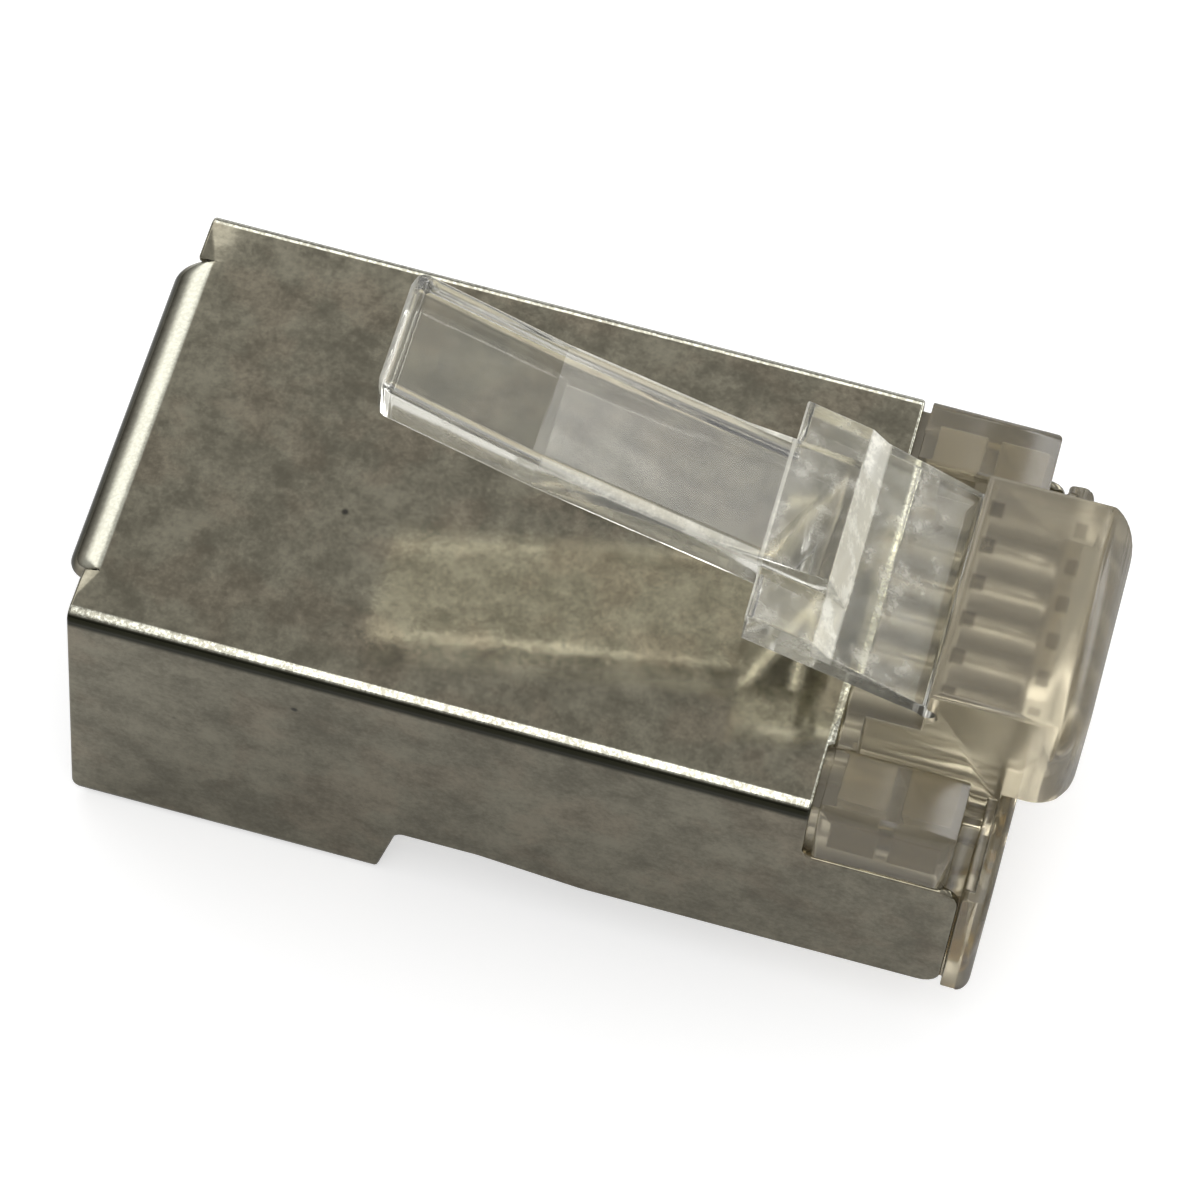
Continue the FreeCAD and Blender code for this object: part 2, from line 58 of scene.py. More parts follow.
# Places in millimetres. A station is counted from REAR towards the nose, a height from TOP upwards.
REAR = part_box("housing")[0].x / MM - 0.75       # rear edge of the shield's top plate
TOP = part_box("shield")[1].z / MM                # upper face of that plate
FREE_END = 5.92                                 # the lever's free end
LEVER_BEND = 9.6                                # where the lever turns up
CATCH_REAR = 15.05                              # the catches' rear faces
CATCH_CREST = 16.67                             # the catches' crests, where their ramps start
CATCH_TOE = 17.08                               # the ends of those ramps
HINGE = 19.5                                    # the latch's root
HINGE_HEIGHT = 0.5
LATCH_SLOPE = math.tan(math.radians(17.0))      # the latch's rise to the rear
LEVER_HALF = 1.65                               # half width of the lever
ARM_HALF = 3.0                                  # half width of the catches and the neck
SLOT_ROWS = ((19.86, 0.12, 1.0), (21.85, 0.10, 0.7))    # station, half length, darkness
SLOT_PITCH = 1.02
SLOT_SHIFT = 0.11                               # the rows' offset to the side

# Faces with a corner under this angle, in degrees, are not bevelled.
SLENDER = 25

# Colours that belong to one detail of a finish.
# Painted light among these: the polished nickel is also a painted highlight, the shaded nickel is a painted
# dark reflection, the slot shade is a painted shade, and the latch film also carries painted highlights.
POLISHED_AND_HIGHLIGHT_NICKEL = (0.68, 0.675, 0.57, 1.0)
SHADED_NICKEL = (0.020, 0.021, 0.012, 1.0)
ROSY_CAST = (1.05, 0.97, 0.95, 1.0)
SHEARED_GOLD = (0.93, 0.78, 0.46, 1.0)
SLOT_SHADE = (0.10, 0.08, 0.045, 1.0)
HOUSING_FILM = (0.375, 0.33, 0.235, 1.0)
LATCH_FILM_AND_HIGHLIGHT = (0.92, 0.90, 0.79, 1.0)

# The lamp's place, aimed at the plug, and its size, in metres.
OVERHEAD_PLACE = (0, -0.075, 0.337)
OVERHEAD_SIZE = (0.14, 0.44)

# Soft panels of the room: brightness, then where each rises and where it falls off, by axis.
PANELS = (
    (2.4, (("z", 0.71, 0.76), ("y", -0.1, 0.2)), (("z", 0.765, 0.805),)),
    (1.75, (("z", 0.30, 0.60), ("y", 0.2, 0.4)), (("z", 0.765, 0.805), ("x", -0.35, -0.20))),
    (2.1, (("z", 0.35, 0.50), ("y", 0.60, 0.68)), (("z", 0.765, 0.805), ("x", 0.0, 0.15))),
    (3.5, (("x", 0.35, 0.55), ("z", -0.05, 0.05), ("y", 0.0, 0.3)), (("z", 0.25, 0.40),)),
)


# ---- settings ----

def length(name, description, millimetres):
    return bpy.props.FloatProperty(name=name, description=description, default=millimetres * MM,
                                   min=0.0, precision=5, unit="LENGTH")


def share(name, description, value):
    return bpy.props.FloatProperty(name=name, description=description, default=value,
                                   min=0.0, max=1.0, subtype="FACTOR")


def colour(name, description, value):
    return bpy.props.FloatVectorProperty(name=name, description=description, default=value,
                                         min=0.0, max=1.0, size=3, subtype="COLOR")


def angle(name, description, degrees):
    return bpy.props.FloatProperty(name=name, description=description, default=math.radians(degrees),
                                   subtype="ANGLE")


def power(name, description, watts):
    return bpy.props.FloatProperty(name=name, description=description, default=watts, min=0.0, unit="POWER")


class ShieldSettings(bpy.types.PropertyGroup):
    sheet: length("Sheet", "Thickness of the folded sheet", 0.22)
    fold: length("Fold", "Outside radius of the long folds", 0.30)
    plate_end: length("Plate End", "Front edge of the top plate, from its rear edge", 17.55)
    plate_jog: length("Plate Jog", "How much further the middle of the top plate reaches", 0.15)
    strip_half: length("Strip Half Width", "Half width of that middle part", 4.0)
    tongue_end: length("Tongue End", "Front edge of the side tongues", 21.30)
    tongue_top: length("Tongue Top", "Upper edge of the side tongues, above the underside", 6.05)
    front_floor: length("Front Floor", "Lower edge of the sides in front of the step", 1.70)
    arch_top: length("Arch Top", "Lower edge of the sides straight ahead of the step", 2.0)
    step: length("Step", "Front end of the deep rear section", 7.6)
    step_run: length("Step Run", "Slope of the step, along the plug", 0.45)
    corner: length("Corner", "Rounded corners of the sides", 0.50)
    small_corner: length("Small Corner", "Rounded corners of the step and the notches", 0.25)
    seam: length("Seam", "Gap along the middle of the underside", 0.12)
    lip_start: length("Lip Start", "Where the top plate starts to roll down", 0.42)
    lip_reach: length("Lip Reach", "Reach of the lip into the cable entry", 2.6)
    lip_half: length("Lip Half Width", "Half width of the lip's root", 4.50)
    lip_inner: length("Lip Inner Half Width", "Half width of the lip inside the cable entry", 4.20)
    roll_half: length("Roll Half Width", "Half width of the full roll", 4.00)
    worn_edge: length("Worn Edge", "Rounding of the cut edges", 0.07)
    light_tone: colour("Light Tone", "Nickel where it is brightest", (0.335, 0.312, 0.238))
    dark_tone: colour("Dark Tone", "Nickel where it has dulled", (0.185, 0.171, 0.128))


class MouldingSettings(bpy.types.PropertyGroup):
    edge: length("Edge", "Rounding of the moulded edges", 0.04)
    housing_tint: colour("Housing Tint", "Colour of the clear housing", (0.71, 0.635, 0.46))
    housing_haze: share("Housing Haze", "Roughness of the housing's faces", 0.20)
    latch_tint: colour("Latch Tint", "Colour of the clear latch", (0.92, 0.91, 0.84))
    latch_haze: share("Latch Haze", "Roughness of the latch's faces", 0.06)
    housing_milk: share("Housing Milk", "Light that the housing scatters instead of letting through", 0.09)
    latch_milk: share("Latch Milk", "Light that the latch scatters instead of letting through", 0.03)


class ContactSettings(bpy.types.PropertyGroup):
    edge: length("Edge", "Rounding of the blades' edges", 0.03)
    rear_round: length("Rear Round", "Rear corner of the contact edge", 0.35)
    front_round: length("Front Round", "Front corner of the contact edge", 0.55)
    tip_height: length("Tip Height", "Height of the piercing tips", 0.65)
    nose: length("Nose", "Length of the low front part", 0.30)
    nose_height: length("Nose Height", "Height of the low front part", 2.08)
    plating: colour("Plating", "Gold flash", (0.86, 0.62, 0.27))


class StageSettings(bpy.types.PropertyGroup):
    azimuth: angle("Azimuth", "Camera's turn about the plug", 8.55)
    elevation: angle("Elevation", "Camera's height above the horizon", 58.89)
    roll: angle("Roll", "Camera's own roll", 7.36)
    distance: length("Distance", "Camera to plug", 132.1)
    target: bpy.props.FloatVectorProperty(name="Target", description="Point in the middle of the view",
                                          default=(-0.13 * MM, 0.51 * MM, 4.2 * MM), size=3,
                                          subtype="TRANSLATION", unit="LENGTH")
    lens: bpy.props.FloatProperty(name="Lens", description="Focal length in millimetres", default=166.14,
                                  unit="CAMERA")
    overhead: power("Overhead", "Soft lamp above and in front", 0.34)
    floor: colour("Floor", "Floor colour", (0.70, 0.70, 0.70))


# ---- materials ----

class Wire:
    """An output socket that takes part in arithmetic: each operator adds its Math node."""

    def __init__(self, finish, socket):
        self.finish = finish
        self.socket = socket

    def calculate(self, operation, first, second):
        return self.finish.node("ShaderNodeMath", {"operation": operation}, {0: first, 1: second})

    def __add__(self, other):
        return self.calculate("ADD", self, other)

    __radd__ = __add__

    def __sub__(self, other):
        return self.calculate("SUBTRACT", self, other)

    def __rsub__(self, other):
        return self.calculate("SUBTRACT", other, self)

    def __mul__(self, other):
        return self.calculate("MULTIPLY", self, other)

    __rmul__ = __mul__


class Finish:
    """A node tree and the ways to add to it."""

    def __init__(self, owner):
        owner.use_nodes = True
        self.owner = owner
        self.tree = owner.node_tree

    def node(self, kind, settings=None, sockets=None, output=0):
        made = self.tree.nodes.new(kind)
        for name, value in (settings or {}).items():
            if name == "stops":
                self.set_stops(made.color_ramp, value)
            else:
                setattr(made, name, value)
        self.feed(made, sockets or {})
        return Wire(self, made.outputs[output])

    def feed(self, made, sockets):
        for name, value in sockets.items():
            if isinstance(value, Wire):
                self.tree.links.new(value.socket, made.inputs[name])
            else:
                made.inputs[name].default_value = value

    def set_stops(self, ramp, stops):
        while len(ramp.elements) < len(stops):
            ramp.elements.new(1.0)
        for element, (place, value) in zip(ramp.elements, stops):
            element.position = place
            element.color = value

    def surface(self, sockets):
        self.feed(self.tree.nodes["Principled BSDF"], sockets)
        return self.owner

    def millimetres(self):
        """The place on the piece, in millimetres."""
        place = self.node("ShaderNodeTexCoord", output="Object")
        return self.node("ShaderNodeVectorMath", {"operation": "SCALE"}, {0: place, "Scale": 1 / MM})

    def axes(self, place):
        parts = self.node("ShaderNodeSeparateXYZ", None, {0: place}).socket.node.outputs
        return [Wire(self, part) for part in parts]

    def stretch(self, place, scales):
        return self.node("ShaderNodeMapping", None, {"Vector": place, "Scale": scales})

    def noise(self, place, scale, detail=3.0, roughness=0.55):
        return self.node("ShaderNodeTexNoise", None, {"Vector": place, "Scale": scale, "Detail": detail,
                                                      "Roughness": roughness})

    def cells(self, place, scale):
        return self.node("ShaderNodeTexVoronoi", None, {"Vector": place, "Scale": scale})

    def between(self, value, low, high):
        """0 at low and 1 at high, with a smooth run between them."""
        return self.node("ShaderNodeMapRange", {"interpolation_type": "SMOOTHSTEP"},
                         {"Value": value, "From Min": low, "From Max": high})

    def before(self, value, low, high):
        """1 at low and 0 at high, with a smooth run between them."""
        return 1.0 - self.between(value, low, high)

    def near(self, value, middle, low, high):
        """1 within low of the middle and 0 from high on."""
        return self.before(self.away(value - middle), low, high)

    def away(self, value):
        return self.node("ShaderNodeMath", {"operation": "ABSOLUTE"}, {0: value})

    def mix(self, factor, first, second, blend="MIX"):
        return self.node("ShaderNodeMix", {"data_type": "RGBA", "blend_type": blend},
                         {"Factor": factor, 6: first, 7: second}, output=2)

    def cover(self, factor, tone, roughness):
        """Let a matt layer over the surface where the factor says."""
        shader = self.tree.nodes["Principled BSDF"].outputs[0]
        matt = self.node("ShaderNodeBsdfPrincipled", None, {"Base Color": tone, "Roughness": roughness})
        mixed = self.node("ShaderNodeMixShader", None, {0: factor, 1: Wire(self, shader), 2: matt})
        self.tree.links.new(mixed.socket, self.tree.nodes["Material Output"].inputs["Surface"])

    def bump(self, height, strength, distance, normal=None):
        sockets = {"Height": height, "Strength": strength, "Distance": distance}
        if normal:
            sockets["Normal"] = normal
        return self.node("ShaderNodeBump", None, sockets)


# A place on a moulding, with how worn it is, all as wires. "out" is the distance from the middle.
Spot = namedtuple("Spot", "station across out height worn")


def opaque(rgb):
    return (*rgb, 1.0)


def grey(value):
    return (value, value, value, 1.0)


def nickel(settings):
    """Semi-bright nickel: mottled and a little wavy, with a painted dark reflection below the long folds
    and behind the lip, and polished folds that also carry a painted highlight.
    """
    finish = Finish(bpy.data.materials.new("mottled_nickel"))
    place = finish.millimetres()
    x, y, z = finish.axes(place)
    broad = finish.noise(place, 0.35, 3.0, 0.6)
    patches = finish.noise(place, 1.1, 4.0, 0.62)
    grain = finish.noise(place, 7.0, 4.0, 0.65)
    tone = finish.mix(finish.between(0.22 * broad + 0.48 * patches + 0.30 * grain, 0.36, 0.64),
                      opaque(settings.dark_tone), opaque(settings.light_tone))
    rosy = finish.between(finish.noise(place, 0.6, 3.0), 0.47, 0.62)
    tone = finish.mix(rosy * 0.5, tone, ROSY_CAST, "MULTIPLY")
    speck = finish.before(finish.cells(place, 0.55), 0.03, 0.07)
    tone = finish.mix(speck * 0.8, tone, grey(0.03))
    # Painted highlight: brighter polished nickel on the long folds, the rolled lip and the front edge.
    tone = finish.mix(worn_and_highlight_line(finish, settings, place, patches), tone, POLISHED_AND_HIGHLIGHT_NICKEL)
    # Painted dark reflection: near-black nickel in a band below the long folds and on the lip behind the
    # rear edge.
    under = finish.between(z, TOP - 0.56, TOP - 0.36) * finish.before(z, TOP - 0.12, TOP - 0.06)
    under = under * finish.between(finish.away(y), 5.62, 5.68) * (0.90 + 0.10 * grain)
    under = under + finish.before(x, REAR - 0.38, REAR - 0.12) * 0.9
    tone = finish.mix(under, tone, SHADED_NICKEL)
    waves = finish.bump(broad, 0.25, 0.05 * MM)
    texture = finish.bump(patches * 0.5 + grain * 0.5, 0.14, 0.012 * MM, waves)
    return finish.surface({"Base Color": tone, "Metallic": 1.0, "Normal": texture,
                           "Roughness": 0.07 + 0.08 * patches + 0.05 * grain})


def worn_and_highlight_line(finish, settings, place, patches):
    """Where handling has polished the sheet, brightened further as a painted highlight: its long folds, its
    rolled lip and its front edge.
    """
    x, y, z = finish.axes(place)
    out = finish.away(y)
    plate_end = REAR + settings.plate_end / MM
    fold = finish.between(z, TOP - 0.12, TOP - 0.06) * finish.between(out, 5.52, 5.60)
    lip = finish.before(x, REAR + 0.35, REAR + 0.41) * finish.between(x, REAR - 0.32, REAR + 0.12)
    lip = lip * finish.between(z, TOP - 0.45, TOP - 0.20) * finish.before(out, 4.35, 4.5)
    front = finish.between(x, plate_end - 0.09, plate_end - 0.04)
    front = front * finish.between(z, TOP - 0.30, TOP - 0.20)
    sparkle = finish.noise(place, 12.0, 2.0)
    rough = finish.between(0.25 * patches + 0.75 * sparkle, 0.40, 0.60)
    return finish.between(fold + front, 0.0, 1.0) * (0.30 + 0.70 * rough) + lip * (0.70 + 0.15 * rough)


def clear_moulding(name, tint, haze, milk, frosting, film_and_highlight_tone, slots=None):
    """Clear moulded plastic, a little yellow and hazy, frosted where it is matt or worn, and carrying the
    painted highlights that the frosting function adds.
    """
    finish = Finish(bpy.data.materials.new(name))
    place = finish.millimetres()
    x, y, z = finish.axes(place)
    flow = finish.noise(finish.stretch(place, (0.35, 1.0, 1.0)), 0.9, 1.0)
    worn = finish.between(finish.noise(place, 1.4, 5.0, 0.65), 0.46, 0.70)
    spot = Spot(x - REAR, y, finish.away(y), z - TOP, worn)
    tone = finish.mix(flow, opaque(tint), opaque([0.88 * part for part in tint]))
    if slots:
        # Painted shade: the dark spots at the slot ends.
        tone = finish.mix(slots(finish, spot), tone, SLOT_SHADE)
    clear = finish.surface({"Base Color": tone, "Transmission Weight": 1.0 - milk, "IOR": 1.58,
                            "Roughness": haze * 0.6 + haze * 0.8 * flow,
                            "Normal": finish.bump(flow, 0.35, 0.03 * MM)})
    # The matt layer also carries the painted highlights that the frosting function gives.
    finish.cover(frosting(finish, spot), film_and_highlight_tone, 0.45)
    return clear


def housing_frosting(finish, spot):
    """A light haze, stronger on the raised root."""
    return 0.07 + 0.08 * spot.worn + 0.10 * finish.between(spot.height, 0.2, 0.4)


def slot_ends(finish, spot):
    """Two rows of dark spots, a painted shade where the ends of the contact slots show through the raised
    root.
    """
    lane = finish.node("ShaderNodeMath", {"operation": "PINGPONG"},
                       {0: spot.across + (10 * SLOT_PITCH - SLOT_SHIFT), 1: SLOT_PITCH / 2})
    rows = sum(darkness * finish.near(spot.station, station, half, half + 0.10)
               for station, half, darkness in SLOT_ROWS)
    spots = rows * finish.before(lane, 0.16, 0.27) * finish.between(spot.height, 1.55, 1.62)
    return spots * finish.before(spot.out, 2.9, 3.0)


def latch_frosting_and_highlights(finish, spot):
    """Matt sides and worn catches, with painted highlights on the lever's upper edges and free end, on the
    catches' ramps and along the crease at the catches.
    """
    station, out = spot.station, spot.out
    rise = spot.height - HINGE_HEIGHT + (station - HINGE) * LATCH_SLOPE
    lever = finish.before(station, CATCH_REAR - 0.10, CATCH_REAR - 0.03)
    sides = finish.near(out, ARM_HALF, 0.02, 0.05) + finish.near(out, LEVER_HALF, 0.02, 0.05) * lever
    # Painted highlight: bright bands along the lever's upper edges and its free end.
    edge = finish.between(rise, 0.95, 1.05) * finish.between(out, LEVER_HALF - 0.18, LEVER_HALF - 0.12)
    edge = edge * lever * finish.between(station, LEVER_BEND + 0.1, LEVER_BEND + 0.3)
    end = finish.before(station, FREE_END + 0.10, FREE_END + 0.22)
    edge = edge + 0.7 * finish.between(rise, 0.9, 1.0) * end
    catches = finish.between(rise, 0.42, 0.50)
    catches = catches * finish.between(station, CATCH_REAR - 0.03, CATCH_REAR + 0.01)
    # Painted highlight on the catches' ramps.
    ramp = finish.between(station, CATCH_CREST - 0.05, CATCH_CREST + 0.03)
    ramp = ramp * finish.before(station, CATCH_TOE + 0.02, CATCH_TOE + 0.12)
    # Painted highlight along the crease where the lever meets the catches.
    crease_highlight = finish.near(station, CATCH_REAR, 0.03, 0.07) * finish.between(rise, 0.7, 0.8)
    matt = 0.03 * spot.worn + sides * (0.10 + 0.12 * spot.worn)
    bright = 0.50 + 0.35 * spot.worn
    return matt + edge * bright + catches * (0.06 + 0.28 * spot.worn + ramp * bright) + crease_highlight * 0.4


def gold(settings):
    """Thin gold over nickel, paler where the blade is sheared."""
    finish = Finish(bpy.data.materials.new("gold_flash"))
    place = finish.millimetres()
    wear = finish.noise(place, 3.0, 4.0)
    brushed = finish.noise(finish.stretch(place, (1.0, 1.0, 8.0)), 3.0, 3.0)
    tone = finish.mix(finish.between(wear, 0.35, 0.65), opaque(settings.plating), SHEARED_GOLD)
    return finish.surface({"Base Color": tone, "Metallic": 1.0, "Roughness": 0.18 + 0.14 * wear,
                           "Normal": finish.bump(brushed, 0.15, 0.005 * MM)})


# ---- meshes, worked on in millimetres ----

def round_corner(mesh, vert, radius, segments=5):
    """Round a corner of a flat face."""
    first, second = [edge.other_vert(vert).co - vert.co for edge in vert.link_edges]
    reach = radius / math.tan(first.angle(second) / 2)
    bmesh.ops.bevel(mesh, geom=[vert], offset=reach, offset_type="OFFSET", segments=segments, profile=0.5,
                    affect="VERTICES", material=-1)


def flat_face(mesh, corners):
    """One flat face through (x, y, z, radius) corners."""
    verts = [mesh.verts.new(corner[:3]) for corner in corners]
    mesh.faces.new(verts)
    for vert, corner in zip(verts, corners):
        if corner[3]:
            round_corner(mesh, vert, corner[3])


def edges_where(mesh, test):
    return [edge for edge in mesh.edges if all(test(vert.co) for vert in edge.verts)]


def spin_edges(mesh, edges, centre, axis, degrees, steps):
    made = bmesh.ops.spin(mesh, geom=edges, cent=centre, axis=axis, dvec=(0, 0, 0),
                          angle=math.radians(degrees), steps=steps, use_merge=False,
                          use_normal_flip=False, use_duplicate=False)
    return [item for item in made["geom_last"] if isinstance(item, bmesh.types.BMEdge)]


def only_verts(items):
    return [item for item in items if isinstance(item, bmesh.types.BMVert)]


def pull_edges(mesh, edges, offset):
    made = bmesh.ops.extrude_edge_only(mesh, edges=edges)["geom"]
    bmesh.ops.translate(mesh, vec=offset, verts=only_verts(made))
    return [item for item in made if isinstance(item, bmesh.types.BMEdge)
            and sum(len(vert.link_faces) for vert in item.verts) <= 4]


def split(mesh, faces, place, normal):
    parts = [part for face in faces for part in (face, *face.edges, *face.verts)]
    geom = list(dict.fromkeys(parts))       # without repeats, and in the same order every time
    bmesh.ops.bisect_plane(mesh, geom=geom, dist=1e-4, plane_co=place, plane_no=normal)


def is_slender(vert):
    """True where a face comes to a thin point, which a bevel would throw far out."""
    return any(loop.calc_angle() < math.radians(SLENDER) for loop in vert.link_loops)


def soften(mesh, width, degrees):
    """Round the edges that turn by more than an angle."""
    sharp = [edge for edge in mesh.edges
             if len(edge.link_faces) == 2 and edge.calc_face_angle() > math.radians(degrees)
             and not any(is_slender(vert) for vert in edge.verts)]
    bmesh.ops.bevel(mesh, geom=sharp, offset=width, offset_type="OFFSET", segments=2, profile=0.5,
                    affect="EDGES", clamp_overlap=False, material=-1)


def make_piece(name, mesh, material, body, nodes):
    """Turn a mesh in millimetres into a piece that stands for its CAD nodes."""
    bmesh.ops.scale(mesh, vec=(MM, MM, MM), verts=mesh.verts)
    data = bpy.data.meshes.new(name)
    mesh.to_mesh(data)
    mesh.free()
    data.shade_smooth()
    data.materials.append(material)
    piece = bpy.data.objects.new(name, data)
    bpy.context.scene.collection.objects.link(piece)
    normals = piece.modifiers.new("weighted_normals", "WEIGHTED_NORMAL")
    normals.mode = "FACE_AREA"
    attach(piece, body)
    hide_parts(*nodes)
    return piece


def merged_copy(node):
    mesh = bmesh.new()
    mesh.from_mesh(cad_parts[node].data)
    bmesh.ops.scale(mesh, vec=(1 / MM, 1 / MM, 1 / MM), verts=mesh.verts)
    bmesh.ops.remove_doubles(mesh, verts=mesh.verts, dist=2e-4)
    bmesh.ops.dissolve_limit(mesh, angle_limit=math.radians(0.3), verts=mesh.verts, edges=mesh.edges,
                             use_dissolve_boundaries=False, delimit=set())
    return mesh


def shield_side(mesh, size):
    """Flat side wall between its folds."""
    side = -size["half"]
    arch, floor = size["arch_top"], size["front_floor"]
    up_the_corner = (size["fold"], 0.36, 0.43, size["corner"])
    rear = [(REAR + rear_end(size, height), side, height, 0) for height in up_the_corner]
    step_low = REAR + front_end(size, size["fold"])
    flat_face(mesh, [(REAR, side, TOP - size["fold"], 0)] + rear[::-1] + [
        (step_low, side, size["fold"], 0),
        (REAR + size["step"] + size["step_run"], side, arch, size["small_corner"]),
        (REAR + size["step"] + size["step_run"] + 2.0, side, arch, 1.0),
        (REAR + size["step"] + 5.0, side, floor, 2.0),
        (REAR + size["tongue_end"], side, floor, size["corner"]),
        (REAR + size["tongue_end"], side, size["tongue_top"], size["corner"]),
        (REAR + size["plate_end"], side, size["tongue_top"], size["small_corner"]),
        (REAR + size["plate_end"], side, TOP - size["fold"], 0)])


def rear_end(size, height):
    """How far the rounded lower rear corner draws the sheet's end in."""
    if height >= size["corner"]:
        return 0.0
    return size["corner"] - math.sqrt(size["corner"] ** 2 - (size["corner"] - height) ** 2)


def front_end(size, height):
    """Front end of the deep section: a slope that rounds off at the underside."""
    slope = size["step_run"] / size["arch_top"]
    radius = size["small_corner"]
    turn = math.atan(slope)
    if height >= radius * (1 - math.sin(turn)):
        return size["step"] + slope * height
    middle = size["step"] + slope * radius - radius / math.cos(turn)
    return middle + math.sqrt(radius ** 2 - (radius - height) ** 2)


def shield_folds(mesh, size):
    """Long folds, the half of the top plate and the half of the underside."""
    half, fold = size["half"], size["fold"]
    top = edges_where(mesh, lambda co: abs(co.z - (TOP - fold)) < 1e-3)
    top = spin_edges(mesh, top, (0, fold - half, TOP - fold), (1, 0, 0), -90, 8)
    low = edges_where(mesh, lambda co: abs(co.z - fold) < 1e-3)
    low = spin_edges(mesh, low, (0, fold - half, fold), (1, 0, 0), 90, 8)
    pull_edges(mesh, top, (0, half - fold, 0))
    pull_edges(mesh, low, (0, half - fold - size["seam"] / 2, 0))
    for vert in mesh.verts:
        if vert.co.z < fold - 1e-4:
            front = vert.co.x > REAR + size["step"] / 2
            vert.co.x = REAR + (front_end if front else rear_end)(size, max(vert.co.z, 0.0))


def top_faces(mesh):
    return [face for face in mesh.faces if all(vert.co.z > TOP - 1e-3 for vert in face.verts)]


def shield_strip(mesh, size):
    """Cut the top plate for the lip and its fading ends, and let the plate's middle reach on."""
    lip_start, cuts_end = REAR + size["lip_start"], REAR + 2 * size["lip_start"]
    for place in (lip_start, cuts_end):
        split(mesh, top_faces(mesh), (place, 0, 0), (1, 0, 0))
    split(mesh, top_faces(mesh), (0, -size["strip_half"], 0), (0, 1, 0))
    for step in (0.0, 0.2, 0.4, 0.6, 0.74, 0.86, 0.94, 0.98, 1.0):
        place = size["roll_half"] + (size["lip_half"] - size["roll_half"]) * step
        behind = [face for face in top_faces(mesh) if face.calc_center_median().x < cuts_end]
        split(mesh, behind, (0, -place, 0), (0, 1, 0))
    gone = [face for face in top_faces(mesh) if face.calc_center_median().x < lip_start
            and face.calc_center_median().y > -size["lip_half"]]
    bmesh.ops.delete(mesh, geom=gone, context="FACES")
    front = [edge for edge in edges_where(mesh, lambda co: abs(co.x - REAR - size["plate_end"]) < 1e-3
                                          and co.z > TOP - 1e-3 and co.y > -size["strip_half"] - 1e-3)]
    pull_edges(mesh, front, (size["plate_jog"], 0, 0))


def shield_lip(mesh, size):
    """Roll the top plate's rear edge down and back into the cable entry, fading out at its ends."""
    start = REAR + size["lip_start"]
    edges = [edge for edge in edges_where(mesh, lambda co: abs(co.x - start) < 1e-3 and co.z > TOP - 1e-3
                                          and co.y > -size["lip_half"] - 1e-3) if edge.is_boundary]
    before = set(mesh.verts)
    turn_end = 0.05
    arcs = ((size["lip_start"], 1.1, 38.8, 6), (0.035, 0.621, 51.2, 6), (turn_end, 0.621, 90.0, 8))
    for station, drop, degrees, steps in arcs:
        edges = spin_edges(mesh, edges, (REAR + station, 0, TOP - drop), (0, 1, 0), -degrees, steps)
    pull_edges(mesh, edges, (size["lip_reach"] - turn_end, 0, 0))
    for vert in [vert for vert in mesh.verts if vert not in before]:
        out = abs(vert.co.y)
        fade = max(out - size["roll_half"], 0.0) / (size["lip_half"] - size["roll_half"])
        if vert.co.x < start:
            vert.co.x = start + (vert.co.x - start) * (0.45 + 0.55 * math.sqrt(max(1.0 - fade ** 2, 0.0)))
        if vert.co.z < TOP - 0.65:
            vert.co.y *= size["lip_inner"] / size["lip_half"]


def sizes_of(settings):
    """The lengths of a group of settings, in millimetres."""
    return {name: getattr(settings, name) / MM for name in settings.bl_rna.properties.keys()
            if isinstance(getattr(settings, name), float)}


def shield_mesh(settings):
    size = sizes_of(settings)
    size["half"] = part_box("shield")[1].y / MM
    mesh = bmesh.new()
    shield_side(mesh, size)
    shield_folds(mesh, size)
    shield_strip(mesh, size)
    shield_lip(mesh, size)
    bmesh.ops.mirror(mesh, geom=mesh.verts[:] + mesh.edges[:] + mesh.faces[:], matrix=Matrix.Identity(4),
                     merge_dist=1e-3, axis="Y")
    bmesh.ops.recalc_face_normals(mesh, faces=mesh.faces)
    wall = min(mesh.faces, key=lambda face: face.calc_center_median().y)
    if wall.normal.y > 0:
        bmesh.ops.reverse_faces(mesh, faces=mesh.faces)
    bmesh.ops.solidify(mesh, geom=mesh.faces[:], thickness=size["sheet"])
    soften(mesh, size["worn_edge"], 40)
    return mesh


def contact_mesh(settings, node):
    size = sizes_of(settings)
    low, high = (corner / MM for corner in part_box(node))
    shoulder = high.z - size["tip_height"]
    inner = high.x - size["nose"]
    spacing = (inner - low.x) / 2
    sill = low.z + size["nose_height"]
    corners = [(low.x, shoulder, 0), (low.x, low.z, size["rear_round"]),
               (high.x, low.z, size["front_round"]), (high.x, sill, 0),
               (inner, sill, 0), (inner, shoulder, 0)]
    for tip in (low.x + 1.5 * spacing, low.x + 0.5 * spacing):
        corners += [(tip + spacing / 3, shoulder, 0), (tip, high.z, 0), (tip - spacing / 3, shoulder, 0)]
    mesh = bmesh.new()
    flat_face(mesh, [(x, low.y, z, radius) for x, z, radius in corners])
    made = bmesh.ops.extrude_face_region(mesh, geom=mesh.faces[:])["geom"]
    bmesh.ops.translate(mesh, vec=(0, high.y - low.y, 0), verts=only_verts(made))
    bmesh.ops.recalc_face_normals(mesh, faces=mesh.faces)
    soften(mesh, size["edge"], 40)
    return mesh


# ---- operators ----

class PLUG_OT_shield(bpy.types.Operator):
    """Model the folded shield with its rolled lip"""
    bl_idname = "plug.shield"
    bl_label = "Shield"

    def execute(self, context):
        settings = context.scene.plug_shield
        make_piece("nickel_shield", shield_mesh(settings), nickel(settings), "plug_body",
                   ["shield"])
        return {"FINISHED"}


